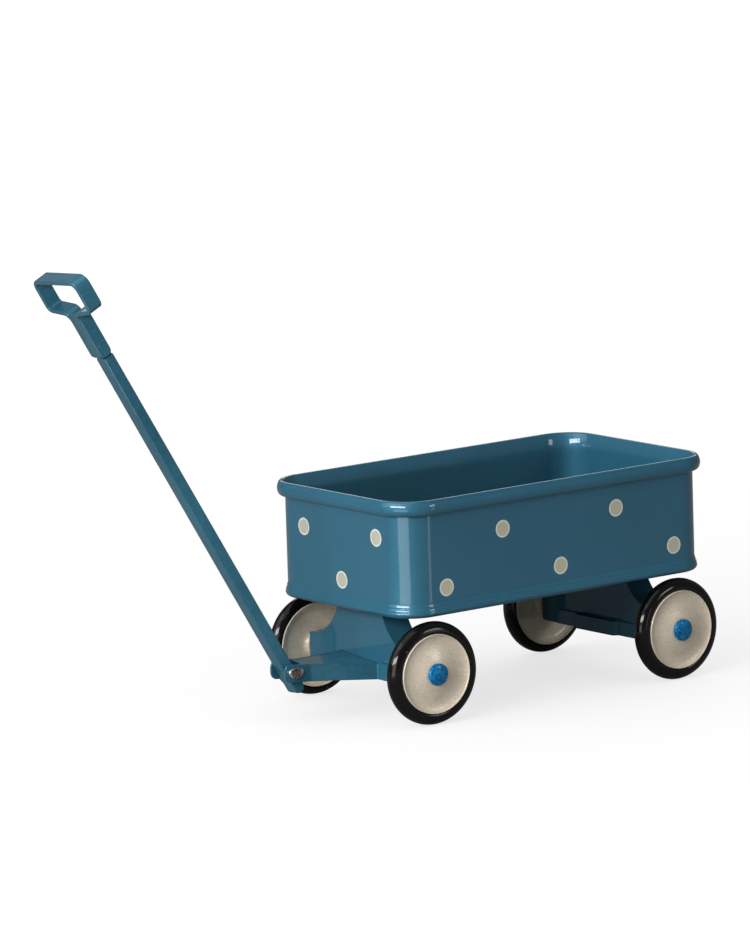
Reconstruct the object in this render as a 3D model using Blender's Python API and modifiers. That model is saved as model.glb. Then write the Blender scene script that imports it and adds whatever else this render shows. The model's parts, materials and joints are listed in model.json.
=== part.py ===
"""A toy pull wagon: a pressed metal tray on two axles, with a steered front truck and a folding handle.

The front of the wagon faces -Y, its left side +X, and +Z is up. Everything is in metres.
"""
import math

import bmesh
import bpy
from mathutils import Matrix, Vector

MM = 0.001

# Clearances
SEAT_GAP = 0.1 * MM       # between pieces that rest on each other
RUNNING_GAP = 0.08 * MM   # radial, between a pin and its hole

# Tray
TRAY_LENGTH = 115.2 * MM
TRAY_WIDTH = 63.8 * MM
TRAY_CORNER = 9.5 * MM
TRAY_BOTTOM = 32.0 * MM
TRAY_TOP = 67.5 * MM
SHEET = 0.8 * MM
RIM_OVERHANG = 2.4 * MM
RIM_HEIGHT = 5.0 * MM
BEAD_HEIGHT = 4.2 * MM
BEAD_DEPTH = 0.8 * MM
FLOOR_FILLET = 2.0 * MM

# Wheels and axles
TYRE_RADIUS = 15.4 * MM
TYRE_HALF_WIDTH = 2.6 * MM
DISC_RADIUS = 12.1 * MM
DISC_BACK_RADIUS = 12.8 * MM
DISC_LIP = 2.7 * MM       # the disc's outer lip, from the wheel's middle plane
DISC_BOSS = 3.3 * MM      # top of the boss under the hub cap
TYRE_SEAT_RADIUS = 11.3 * MM
TYRE_SEAT_HALF_WIDTH = 1.8 * MM
AXLE_RADIUS = 1.2 * MM
CAP_RADIUS = 3.3 * MM
CAP_HEIGHT = 1.2 * MM
SPACER_THICKNESS = 0.5 * MM
SPACER_RADIUS = 2.6 * MM
FRONT_AXLE_INSET = 10.9 * MM   # from the tray's end wall
REAR_AXLE_INSET = 12.7 * MM
FRONT_AXLE_Y = FRONT_AXLE_INSET - TRAY_LENGTH / 2
REAR_AXLE_Y = TRAY_LENGTH / 2 - REAR_AXLE_INSET
WHEEL_STEPS = 32

# Axle brackets, folded from sheet
BRACKET_FRONT = -3.8 * MM      # outer faces, from the axle
BRACKET_BACK = 5.0 * MM
BRACKET_HALF = 27.6 * MM
WHEEL_STANDOFF = 3.7 * MM      # from a bracket's end to the wheel's middle plane
WHEEL_PLANE = BRACKET_HALF + WHEEL_STANDOFF
BRACKET_SHOULDER = 20.0 * MM   # height where the curved sides meet the upright ends
BRACKET_BOTTOM = 10.9 * MM
BRACKET_CURVE = 16.2 * MM

# Steering
STEER_REST = math.radians(-3.9)
KINGPIN_RADIUS = 1.5 * MM
KINGPIN_HEAD = 2.7 * MM        # countersunk flush with the floor
KINGPIN_WASHER = 0.5 * MM
KINGPIN_WASHER_RADIUS = 4.5 * MM
REAR_RIVET_X = 7.5 * MM
REAR_RIVET_RADIUS = 1.1 * MM
REAR_RIVET_HEAD = 2.0 * MM
FLUSH_DEPTH = 0.6 * MM         # depth of a countersunk head

# Drawbar: two plates and a web, between the front bracket and the handle
PIVOT_Y = -29.9 * MM           # from the kingpin
PIVOT_Z = 15.5 * MM
DRAWBAR_PLATE = 0.7 * MM
DRAWBAR_TIP_HALF = 4.1 * MM
DRAWBAR_TIP_AHEAD = 3.6 * MM
DRAWBAR_FLARE_Y = -24.5 * MM   # where the plates start to spread
DRAWBAR_ROOT_HALF = 9.9 * MM
DRAWBAR_FLANGE_LEFT = 16.0 * MM
DRAWBAR_FLANGE_RIGHT = 12.3 * MM
DRAWBAR_FLANGE_TOP = 16.0 * MM
DRAWBAR_TOP_TIP = 18.3 * MM    # top of the web over its middle line
DRAWBAR_TOP_ROOT = 16.15 * MM
DRAWBAR_TILT = 0.056           # the web rises to the right by this slope
DRAWBAR_LOW_TIP = 12.85 * MM
DRAWBAR_LOW_ROOT = 10.95 * MM
WEB_SETBACK = 3.6 * MM         # the web starts this far behind the pivot

# Cross strap on the rear bracket
STRAP_HALF = 8.6 * MM
STRAP_STANDOFF = 1.5 * MM
STRAP_FLANGE_HALF = 19.2 * MM
STRAP_TOP = 15.5 * MM

# Handle
HANDLE_ELEVATION = math.radians(62.15)
HANDLE_LEAN = math.radians(5.6)    # the bar stands a little to one side in its loose joint
BAR_OFFSET = -0.5 * MM
BAR_SETBACK = 0.3 * MM              # the bar's middle plane lies this far in front of the pivot
BAR_WIDTH = 4.9 * MM
BAR_THICKNESS = 3.65 * MM
BAR_TAIL = 7.3 * MM
BAR_EDGE = 0.45 * MM
REBATE_HALF = 1.5 * MM             # half of the bar's width between the grip's leaves
HANDLE_RIVET_RADIUS = 1.3 * MM
HANDLE_RIVET_HEAD = 2.3 * MM
HANDLE_RIVET_DOME = 1.0 * MM
GRIP_STRIP = 1.35 * MM
GRIP_STRIP_WIDTH = 4.8 * MM
GRIP_LEAF_WIDTH = 4.1 * MM
GRIP_HALF = 12.8 * MM
GRIP_TOP = 140.2 * MM              # from the pivot, along the bar
GRIP_RISE = 11.6 * MM              # the loop's height over its shoulders
GRIP_LEAF = 15.9 * MM
BAR_END_GAP = 2.2 * MM             # from the bar's end to the grip's shoulders
GRIP_SHOULDER = GRIP_TOP - GRIP_RISE
GRIP_LEAF_END = GRIP_SHOULDER - GRIP_LEAF
BAR_TOP = GRIP_SHOULDER - BAR_END_GAP
GRIP_SHIFT = -0.7 * MM             # the strip's middle plane, from the pivot

PAINT = ((0.045, 0.170, 0.265, 1.0), 0.28, 0.0)
CREAM = ((0.480, 0.430, 0.330, 1.0), 0.40, 0.0)
RUBBER = ((0.012, 0.011, 0.011, 1.0), 0.25, 0.0)
CAP_BLUE = ((0.010, 0.130, 0.380, 1.0), 0.30, 0.0)
STEEL = ((0.550, 0.540, 0.520, 1.0), 0.30, 1.0)

for old in list(bpy.data.objects):
    bpy.data.objects.remove(old, do_unlink=True)

PARTS = bpy.data.collections.new("toy_wagon")
CUTTERS = bpy.data.collections.new("cutters")
bpy.context.scene.collection.children.link(PARTS)
bpy.context.scene.collection.children.link(CUTTERS)


def empty(name, parent=None, location=(0.0, 0.0, 0.0), rotation=(0.0, 0.0, 0.0)):
    """An axis or frame that pieces hang from."""
    obj = bpy.data.objects.new(name, None)
    obj.location = location
    obj.rotation_euler = rotation
    obj.parent = parent
    obj.empty_display_size = 10 * MM
    PARTS.objects.link(obj)
    return obj


def material(name, look):
    """A Principled material from a colour, a roughness and a metallic value."""
    colour, roughness, metallic = look
    mat = bpy.data.materials.new(name + "_material")
    mat.use_nodes = True
    shader = mat.node_tree.nodes["Principled BSDF"]
    shader.inputs["Base Color"].default_value = colour
    shader.inputs["Roughness"].default_value = roughness
    shader.inputs["Metallic"].default_value = metallic
    return mat


def piece(name, mesh, look, parent, location=(0.0, 0.0, 0.0), sharp=40.0):
    """A visible piece, smooth shaded except at its sharp edges."""
    mesh.name = name
    mesh.shade_smooth()
    mesh.set_sharp_from_angle(angle=math.radians(sharp))
    obj = bpy.data.objects.new(name, mesh)
    obj.data.materials.append(material(name, look))
    obj.location = location
    obj.parent = parent
    PARTS.objects.link(obj)
    return obj


def cutter(name, mesh, parent, location=(0.0, 0.0, 0.0), rotation=(0.0, 0.0, 0.0)):
    """A guide solid that only cuts or trims other pieces."""
    obj = bpy.data.objects.new(name, mesh)
    obj.location = location
    obj.rotation_euler = rotation
    obj.parent = parent
    obj.hide_render = True
    obj.display_type = "WIRE"
    CUTTERS.objects.link(obj)
    return obj


def boolean(obj, tool, operation="DIFFERENCE"):
    mod = obj.modifiers.new(tool.name, "BOOLEAN")
    mod.operation = operation
    mod.object = tool
    mod.solver = "EXACT"
    return mod


def bevel(obj, width, segments=2, angle=35.0):
    mod = obj.modifiers.new("edges", "BEVEL")
    mod.width = width
    mod.segments = segments
    mod.limit_method = "ANGLE"
    mod.angle_limit = math.radians(angle)
    return mod


def turned(obj, steps):
    """Turns the object's profile about its own Z axis."""
    mod = obj.modifiers.new("turned", "SCREW")
    mod.axis = "Z"
    mod.steps = steps
    mod.render_steps = steps
    mod.use_merge_vertices = True
    mod.merge_threshold = 0.00001
    mod.use_smooth_shade = True
    return mod


def profile_mesh(points, closed):
    """A wire profile in the XZ plane from (radius, height) points, down its outer side."""
    bm = bmesh.new()
    verts = [bm.verts.new((r, 0.0, z)) for r, z in points]
    for a, b in zip(verts, verts[1:]):
        bm.edges.new((a, b))
    if closed:
        bm.edges.new((verts[-1], verts[0]))
    mesh = bpy.data.meshes.new("profile")
    bm.to_mesh(mesh)
    bm.free()
    return mesh


def cylinder_mesh(radius, depth, segments=32):
    """A cylinder about Z, centred on its origin."""
    bm = bmesh.new()
    bmesh.ops.create_cone(bm, cap_ends=True, segments=segments, radius1=radius, radius2=radius, depth=depth)
    mesh = bpy.data.meshes.new("cylinder")
    bm.to_mesh(mesh)
    bm.free()
    return mesh


def box_mesh(low, high):
    """A box between two corners."""
    size = Vector(high) - Vector(low)
    middle = (Vector(high) + Vector(low)) / 2
    bm = bmesh.new()
    bmesh.ops.create_cube(bm, size=1.0, matrix=Matrix.Translation(middle) @ Matrix.Diagonal((*size, 1.0)))
    mesh = bpy.data.meshes.new("box")
    bm.to_mesh(mesh)
    bm.free()
    return mesh


def rounded_outline(corners, steps=5):
    """A closed outline from (x, y, radius) corners, with an arc where the radius isn't zero."""
    points = []
    count = len(corners)
    for i, (x, y, radius) in enumerate(corners):
        here = Vector((x, y))
        before = (Vector(corners[i - 1][:2]) - here).normalized()
        after = (Vector(corners[(i + 1) % count][:2]) - here).normalized()
        if radius == 0.0:
            points.append(here)
            continue
        half = before.angle(after) / 2
        reach = radius / math.tan(half)
        centre = here + (before + after).normalized() * (radius / math.sin(half))
        start = here + before * reach - centre
        sweep = start.angle_signed(here + after * reach - centre)
        for k in range(steps + 1):
            turn = -sweep * k / steps
            points.append(centre + Matrix.Rotation(turn, 2) @ start)
    return points


def prism_mesh(outline, half_depth, plane="XY"):
    """A flat outline filled and extruded both ways, made a mesh with its caps welded."""
    curve = bpy.data.curves.new("outline", "CURVE")
    curve.dimensions = "2D"
    curve.fill_mode = "BOTH"
    curve.extrude = half_depth
    spline = curve.splines.new("POLY")
    spline.points.add(len(outline) - 1)
    for point, (x, y) in zip(spline.points, outline):
        point.co = (x, y, 0.0, 1.0)
    spline.use_cyclic_u = True
    carrier = bpy.data.objects.new("outline", curve)
    bpy.context.scene.collection.objects.link(carrier)
    evaluated = carrier.evaluated_get(bpy.context.evaluated_depsgraph_get())
    mesh = bpy.data.meshes.new_from_object(evaluated)
    bpy.data.objects.remove(carrier, do_unlink=True)
    bpy.data.curves.remove(curve)
    bm = bmesh.new()
    bm.from_mesh(mesh)
    bmesh.ops.remove_doubles(bm, verts=bm.verts, dist=0.001 * MM)
    bmesh.ops.dissolve_limit(bm, angle_limit=0.001, verts=bm.verts, edges=bm.edges)
    turns = {
        "XY": Matrix.Identity(4),
        "XZ": Matrix.Rotation(math.pi / 2, 4, "X"),
        "YZ": Matrix(((0, 0, 1, 0), (1, 0, 0, 0), (0, 1, 0, 0), (0, 0, 0, 1))),
    }
    bmesh.ops.transform(bm, matrix=turns[plane], verts=bm.verts)
    bmesh.ops.recalc_face_normals(bm, faces=bm.faces)
    bm.to_mesh(mesh)
    bm.free()
    return mesh


def slope_along_y(mesh, rise, from_y):
    """Shears a mesh so that its heights rise by a steady amount along Y."""
    for vertex in mesh.vertices:
        vertex.co.z += rise * (vertex.co.y - from_y)
    return mesh


def ribbon(path, thickness):
    """The outline of a strip of even thickness along a path of points."""
    left, right = [], []
    for i, point in enumerate(path):
        ahead = (path[min(i + 1, len(path) - 1)] - point)
        behind = (point - path[max(i - 1, 0)])
        directions = [d.normalized() for d in (ahead, behind) if d.length > 0]
        along = sum(directions, Vector((0.0, 0.0))).normalized()
        normal = Vector((-along.y, along.x))
        width = thickness / 2 / max(normal.dot(Vector((-directions[0].y, directions[0].x))), 0.5)
        left.append(point + normal * width)
        right.append(point - normal * width)
    return left + right[::-1]


def open_path(corners, steps=5):
    """An open path from (x, y, radius) corners, with arcs at its inner corners."""
    first, last = corners[0], corners[-1]
    points = [Vector(first[:2])]
    for i in range(1, len(corners) - 1):
        arc = rounded_outline([corners[i - 1][:2] + (0.0,), corners[i], corners[i + 1][:2] + (0.0,)], steps)
        points.extend(arc[1:-1])
    points.append(Vector(last[:2]))
    return points


def ring(bm, offset, height, steps=8):
    """One level of the tray: a rounded rectangle at an offset from the outer wall."""
    radius = TRAY_CORNER + offset
    half_x = TRAY_WIDTH / 2 + offset - radius
    half_y = TRAY_LENGTH / 2 + offset - radius
    verts = []
    for quarter, (sx, sy) in enumerate(((1, 1), (-1, 1), (-1, -1), (1, -1))):
        for k in range(steps + 1):
            turn = math.pi / 2 * (quarter + k / steps)
            verts.append(bm.verts.new((sx * half_x + radius * math.cos(turn),
                                       sy * half_y + radius * math.sin(turn), height)))
    return verts


def arc(centre, radii, start, end, steps):
    """Points on an ellipse's arc, as (offset, height)."""
    turns = [math.radians(start + (end - start) * k / steps) for k in range(steps + 1)]
    return [(centre[0] + radii[0] * math.cos(t), centre[1] + radii[1] * math.sin(t)) for t in turns]


def tray_section():
    """The tray's section from the middle of the floor's top, over the rim, to the underside."""
    floor = TRAY_BOTTOM + SHEET
    inner = [(-SHEET - FLOOR_FILLET + x, floor + FLOOR_FILLET + z)
             for x, z in arc((0, 0), (FLOOR_FILLET, FLOOR_FILLET), -90, 0, 4)]
    lip = 0.45 * MM
    inner.append((-SHEET, TRAY_TOP - 3.2 * MM))
    inner.append((-SHEET + 0.12 * MM, TRAY_TOP - 2.0 * MM))
    inner.append((-SHEET + 0.45 * MM, TRAY_TOP - lip * 1.6))
    top = arc((lip * 0.9, TRAY_TOP - lip), (lip * 1.3, lip), 160, 75, 3)
    mid = TRAY_TOP - RIM_HEIGHT * 0.5
    shoulder = [(RIM_OVERHANG * 0.55, TRAY_TOP - 0.45 * MM)]
    roll = arc((RIM_OVERHANG * 0.35, mid), (RIM_OVERHANG * 0.65, RIM_HEIGHT * 0.5), 52, -90, 7)
    tuck = [(0.0, TRAY_TOP - RIM_HEIGHT + 0.25 * MM)]
    bead_top = TRAY_BOTTOM + BEAD_HEIGHT
    outer = [
        (0.0, bead_top + 0.3 * MM),
        (0.25 * MM, bead_top - 0.05 * MM),
        (BEAD_DEPTH * 0.85, bead_top - 0.55 * MM),
        (BEAD_DEPTH * 0.90, bead_top - 1.0 * MM),
        (BEAD_DEPTH * 0.80, bead_top - 1.45 * MM),
        (BEAD_DEPTH, bead_top - 2.0 * MM),
    ]
    under = 1.5 * MM
    outer += arc((BEAD_DEPTH - under, TRAY_BOTTOM + under), (under, under), 0, -90, 4)
    return inner + top + shoulder + roll + tuck + outer


def tray_mesh():
    """The pressed tray as a loft of rounded rectangles, closed by its floor and its underside."""
    bm = bmesh.new()
    rings = [ring(bm, offset, height) for offset, height in tray_section()]
    count = len(rings[0])
    for low, high in zip(rings, rings[1:]):
        for i in range(count):
            j = (i + 1) % count
            bm.faces.new((low[i], low[j], high[j], high[i]))
    bm.faces.new(rings[0])
    bm.faces.new(rings[-1][::-1])
    bmesh.ops.recalc_face_normals(bm, faces=bm.faces)
    mesh = bpy.data.meshes.new("tray")
    bm.to_mesh(mesh)
    bm.free()
    return mesh


def make_tray(wagon):
    tray = piece("tray", tray_mesh(), PAINT, wagon, sharp=50.0)
    holes = [("kingpin", 0.0, FRONT_AXLE_Y, KINGPIN_RADIUS, KINGPIN_HEAD)]
    holes += [("rear_rivet_" + side, sign * REAR_RIVET_X, REAR_AXLE_Y, REAR_RIVET_RADIUS, REAR_RIVET_HEAD)
              for side, sign in (("left", 1), ("right", -1))]
    for name, x, y, radius, head in holes:
        drill = cutter("tray_hole_" + name, profile_mesh([
            (0.0, 2 * SHEET),
            (head + SEAT_GAP, 2 * SHEET),
            (head + SEAT_GAP, -0.3 * FLUSH_DEPTH),
            (radius + SEAT_GAP, -FLUSH_DEPTH - SEAT_GAP / 2),
            (radius + SEAT_GAP, -3 * SHEET),
            (0.0, -3 * SHEET),
        ], False), wagon, (x, y, TRAY_BOTTOM + SHEET))
        turned(drill, 20)
        boolean(tray, drill)


def bracket_outline(top):
    """Half of a bracket's front face is an upright end, a concave curve and a level top."""
    centre_x = BRACKET_HALF - 0.7 * MM
    centre_z = BRACKET_SHOULDER + BRACKET_CURVE
    start = math.asin((centre_z - top) / BRACKET_CURVE)
    side = []
    for k in range(8):
        turn = math.pi / 2 + (start - math.pi / 2) * k / 7
        side.append(Vector((centre_x - BRACKET_CURVE * math.cos(turn), centre_z - BRACKET_CURVE * math.sin(turn))))
    low = 1.0 * MM
    corner = [Vector((BRACKET_HALF - low * (1 - math.sin(t)), BRACKET_BOTTOM + low * (1 - math.cos(t))))
              for t in (0.0, math.pi / 4, math.pi / 2)]
    right = corner + [Vector((BRACKET_HALF, BRACKET_SHOULDER - 1.5 * MM))] + side
    left = [Vector((-p.x, p.y)) for p in right[::-1]]
    return right + left


def make_bracket(name, parent, top, pin_holes):
    """An upside-down channel: front and back faces, a top web and upright ends that hold the axle."""
    outline = bracket_outline(top)
    depth = BRACKET_BACK - BRACKET_FRONT
    bracket = piece(name, prism_mesh(outline, depth / 2, "XZ"), PAINT, parent)
    bracket.location.y = (BRACKET_BACK + BRACKET_FRONT) / 2
    bevel(bracket, 0.25 * MM, 2, 50.0)
    inner = box_mesh((-BRACKET_HALF + SHEET, BRACKET_FRONT + SHEET, BRACKET_BOTTOM - 5 * MM),
                     (BRACKET_HALF - SHEET, BRACKET_BACK - SHEET, top - SHEET))
    boolean(bracket, cutter(name + "_hollow", inner, parent))
    axle_hole = cylinder_mesh(AXLE_RADIUS + SEAT_GAP, 4 * BRACKET_HALF, 24)
    boolean(bracket, cutter(name + "_axle_hole", axle_hole, parent, (0, 0, TYRE_RADIUS),
                            (0, math.pi / 2, 0)))
    for k, (x, radius) in enumerate(pin_holes):
        drill = cylinder_mesh(radius + SEAT_GAP, 4 * MM, 20)
        boolean(bracket, cutter(f"{name}_pin_hole_{k}", drill, parent, (x, 0, top)))
    return bracket


def disc_profile():
    """A wheel disc: a boss, a dished face with a lip, a tyre seat and a flat back."""
    bore = AXLE_RADIUS + RUNNING_GAP
    face = [
        (bore, DISC_BOSS),
        (3.4 * MM, DISC_BOSS),
        (4.6 * MM, DISC_BOSS - 0.35 * MM),
        (6.4 * MM, DISC_BOSS - 1.15 * MM),
        (8.2 * MM, DISC_BOSS - 1.80 * MM),
        (9.8 * MM, DISC_BOSS - 1.95 * MM),
        (11.0 * MM, DISC_BOSS - 1.45 * MM),
        (DISC_RADIUS - 0.30 * MM, DISC_LIP),
        (DISC_RADIUS, DISC_LIP - 0.15 * MM),
    ]
    seat_wide = TYRE_SEAT_HALF_WIDTH + 2 * SEAT_GAP
    seat = [
        (DISC_RADIUS, TYRE_HALF_WIDTH),
        (TYRE_SEAT_RADIUS, seat_wide),
        (TYRE_SEAT_RADIUS, -seat_wide),
    ]
    back = [
        (DISC_BACK_RADIUS, -TYRE_HALF_WIDTH + 0.3 * MM),
        (DISC_BACK_RADIUS - 0.2 * MM, -DISC_LIP),
        (11.6 * MM, -1.8 * MM),
        (8.0 * MM, -1.2 * MM),
        (4.6 * MM, -1.3 * MM),
        (3.4 * MM, -DISC_LIP),
        (bore, -DISC_LIP),
    ]
    return face + seat + back


def tyre_profile():
    """A tyre's section: a rounded tread and side walls, and a foot in the disc's seat."""
    seat = TYRE_SEAT_RADIUS + SEAT_GAP
    wall = DISC_RADIUS + SEAT_GAP
    crown_radius = 2.75 * MM
    crown = arc((TYRE_RADIUS - crown_radius, 0.0), (crown_radius, TYRE_HALF_WIDTH), 90, -76, 7)
    foot = [
        (DISC_BACK_RADIUS + SEAT_GAP, -TYRE_HALF_WIDTH + 0.5 * MM),
        (seat, -TYRE_SEAT_HALF_WIDTH),
        (seat, TYRE_SEAT_HALF_WIDTH),
        (wall, TYRE_HALF_WIDTH - 0.15 * MM),
    ]
    return crown + foot


def cap_profile():
    """A domed hub cap with a blind hole that presses over the axle's end."""
    hole = AXLE_RADIUS + 0.05 * MM
    base = DISC_BOSS + SEAT_GAP
    dome = [(CAP_RADIUS * math.sin(t), base + 0.35 * MM + (CAP_HEIGHT - 0.35 * MM) * math.cos(t))
            for t in [math.pi / 2 * k / 5 for k in range(6)]]
    return dome + [(CAP_RADIUS, base), (hole, base), (hole, base + 0.7 * MM), (0.0, base + 0.7 * MM)]


def make_wheel(name, parent, side, y):
    """A disc, its tyre, the hub cap and the spacer behind it. Local +Z points away from the wagon."""
    place = (side * WHEEL_PLANE, y, TYRE_RADIUS)
    outward = (0.0, side * math.pi / 2, 0.0)
    spin = empty(name + "_axis", parent, place, outward)
    fixed = empty(name + "_axle_end", parent, place, outward)
    disc = piece(name + "_disc", profile_mesh(disc_profile(), True), CREAM, spin)
    turned(disc, WHEEL_STEPS)
    tyre = piece(name + "_tyre", profile_mesh(tyre_profile(), True), RUBBER, spin)
    turned(tyre, WHEEL_STEPS)
    cap = piece(name + "_hub_cap", profile_mesh(cap_profile(), False), CAP_BLUE, fixed)
    turned(cap, 20)
    inner = BRACKET_HALF + SEAT_GAP - WHEEL_PLANE
    spacer_profile = [
        (AXLE_RADIUS + SEAT_GAP, inner + SPACER_THICKNESS),
        (SPACER_RADIUS, inner + SPACER_THICKNESS),
        (SPACER_RADIUS, inner),
        (AXLE_RADIUS + SEAT_GAP, inner),
    ]
    spacer = piece(name + "_spacer", profile_mesh(spacer_profile, True), STEEL, fixed)
    turned(spacer, 18)


def make_axle(name, parent, y):
    half = WHEEL_PLANE + DISC_BOSS + SEAT_GAP + 0.6 * MM
    axle = piece(name, cylinder_mesh(AXLE_RADIUS, 2 * half, 24), STEEL, parent, (0, y, TYRE_RADIUS))
    axle.rotation_euler = (0, math.pi / 2, 0)
    bevel(axle, 0.15 * MM, 1, 50.0)


def peened_end(dome, grip, peened):
    """The end of a rivet that is hammered over, below its grip."""
    end = [(peened * math.cos(t), -grip - dome * (0.15 + 0.6 * math.sin(t)))
           for t in [math.pi / 2 * k / 3 for k in range(4)]]
    end[-1] = (0.0, end[-1][1])
    return [(peened, -grip)] + end


def rivet_profile(shank, head, dome, grip, peened):
    """A rivet about Z: a domed head above its origin, a shank, and a smaller peened head below."""
    upper = [(head * math.sin(t), dome * (0.18 + 0.82 * math.cos(t)))
             for t in [math.pi / 2 * k / 4 for k in range(5)]]
    return upper + [(head, 0.0), (shank, 0.0), (shank, -grip)] + peened_end(dome, grip, peened)


def flush_profile(shank, head, dome, grip, peened):
    """A pin about Z: a countersunk head that ends just under its origin, a shank and a peened end."""
    top = -SEAT_GAP / 2
    upper = [(0.0, top), (head, top), (head, -0.25 * FLUSH_DEPTH), (shank, -FLUSH_DEPTH)]
    return upper + [(shank, -grip)] + peened_end(dome, grip, peened)


def make_pin(name, parent, place, rotation, profile):
    pin = piece(name, profile_mesh(profile, False), STEEL, parent, place)
    pin.rotation_euler = rotation
    turned(pin, 18)
    return pin


def make_rear_truck(wagon):
    """The fixed rear bracket, riveted under the floor, with its cross strap, axle and wheels."""
    rear = empty("rear_axle_frame", wagon, (0, REAR_AXLE_Y, 0))
    top = TRAY_BOTTOM - SEAT_GAP
    pins = [(sign * REAR_RIVET_X, REAR_RIVET_RADIUS) for sign in (1, -1)]
    make_bracket("rear_bracket", rear, top, pins)
    grip = 2 * SHEET + 2 * SEAT_GAP
    profile = flush_profile(REAR_RIVET_RADIUS, REAR_RIVET_HEAD, 1.0 * MM, grip, 0.95 * REAR_RIVET_HEAD)
    for side, sign in (("left", 1), ("right", -1)):
        make_pin("rear_rivet_" + side, rear, (sign * REAR_RIVET_X, 0, TRAY_BOTTOM + SHEET), (0, 0, 0), profile)
    face = BRACKET_FRONT - SEAT_GAP - SHEET / 2
    path = open_path([
        (-STRAP_FLANGE_HALF, face, 0.0),
        (-STRAP_HALF - 1.0 * MM, face, 0.7 * MM),
        (-STRAP_HALF, face - STRAP_STANDOFF, 0.7 * MM),
        (STRAP_HALF, face - STRAP_STANDOFF, 0.7 * MM),
        (STRAP_HALF + 1.0 * MM, face, 0.7 * MM),
        (STRAP_FLANGE_HALF, face, 0.0),
    ], 3)
    low = BRACKET_BOTTOM + 0.15 * MM
    height = STRAP_TOP - low
    strap = piece("rear_cross_strap", prism_mesh(ribbon(path, SHEET), height / 2), PAINT, rear,
                  (0, 0, low + height / 2))
    bevel(strap, 0.2 * MM, 2, 50.0)
    make_axle("rear_axle", rear, 0.0)
    for side, sign in (("left", 1), ("right", -1)):
        make_wheel("rear_" + side + "_wheel", rear, sign, 0.0)


def drawbar_plan(inset, flange):
    """The drawbar from above: parallel at its tip, then spreading to the bracket."""
    tip_y = PIVOT_Y - DRAWBAR_TIP_AHEAD - 2 * MM
    back = BRACKET_FRONT - SEAT_GAP
    tip = DRAWBAR_TIP_HALF - inset
    root = DRAWBAR_ROOT_HALF - inset
    side = [(tip, tip_y, 0.0), (tip, DRAWBAR_FLARE_Y, 2.0 * MM)]
    if not flange:
        side.append((root + 0.3 * MM, back + 2 * MM, 0.0))
        return rounded_outline(side + [(-x, y, r) for x, y, r in side[::-1]], 4)
    front = back - DRAWBAR_PLATE
    left = side + [(root, front, 0.6 * MM), (DRAWBAR_FLANGE_LEFT, front, 0.0), (DRAWBAR_FLANGE_LEFT, back, 0.0)]
    right = side + [(root, front, 0.6 * MM), (DRAWBAR_FLANGE_RIGHT, front, 0.0), (DRAWBAR_FLANGE_RIGHT, back, 0.0)]
    return rounded_outline(left + [(-x, y, r) for x, y, r in right[::-1]], 4)


def drawbar_side():
    """The drawbar from the side: a rounded tip that narrows towards the bracket."""
    tip_y = PIVOT_Y - DRAWBAR_TIP_AHEAD
    spare = 1.2 * MM
    return rounded_outline([
        (tip_y, DRAWBAR_LOW_TIP, 2.2 * MM),
        (BRACKET_FRONT, DRAWBAR_LOW_ROOT, 0.0),
        (BRACKET_FRONT, DRAWBAR_TOP_ROOT + spare, 0.0),
        (PIVOT_Y + 5 * MM, DRAWBAR_TOP_TIP + spare, 0.0),
        (PIVOT_Y + 1 * MM, DRAWBAR_TOP_TIP + 0.3 * MM, 0.0),
        (tip_y, DRAWBAR_TOP_TIP + 0.3 * MM, 2.4 * MM),
    ], 5)


def drawbar_top():
    """A solid above the web's tilted and sloping top, and above the two flanges."""
    tip_y = PIVOT_Y - DRAWBAR_TIP_AHEAD
    rise = (DRAWBAR_TOP_ROOT - DRAWBAR_TOP_TIP) / (BRACKET_FRONT - tip_y)
    high = 30 * MM
    left = DRAWBAR_ROOT_HALF + 0.5 * MM
    right = -DRAWBAR_ROOT_HALF - 1.2 * MM
    slope = DRAWBAR_TOP_ROOT - DRAWBAR_TILT * left
    outline = [
        (-high, DRAWBAR_LOW_ROOT + 3.9 * MM),
        (right, DRAWBAR_LOW_ROOT + 3.9 * MM),
        (right, DRAWBAR_TOP_ROOT - DRAWBAR_TILT * right),
        (left, slope),
        (left, DRAWBAR_FLANGE_TOP),
        (high, DRAWBAR_FLANGE_TOP),
        (high, high + 5 * MM),
        (-high, high + 5 * MM),
    ]
    mesh = prism_mesh(outline, 40 * MM, "XZ")
    return slope_along_y(mesh, rise, BRACKET_FRONT)


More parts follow.
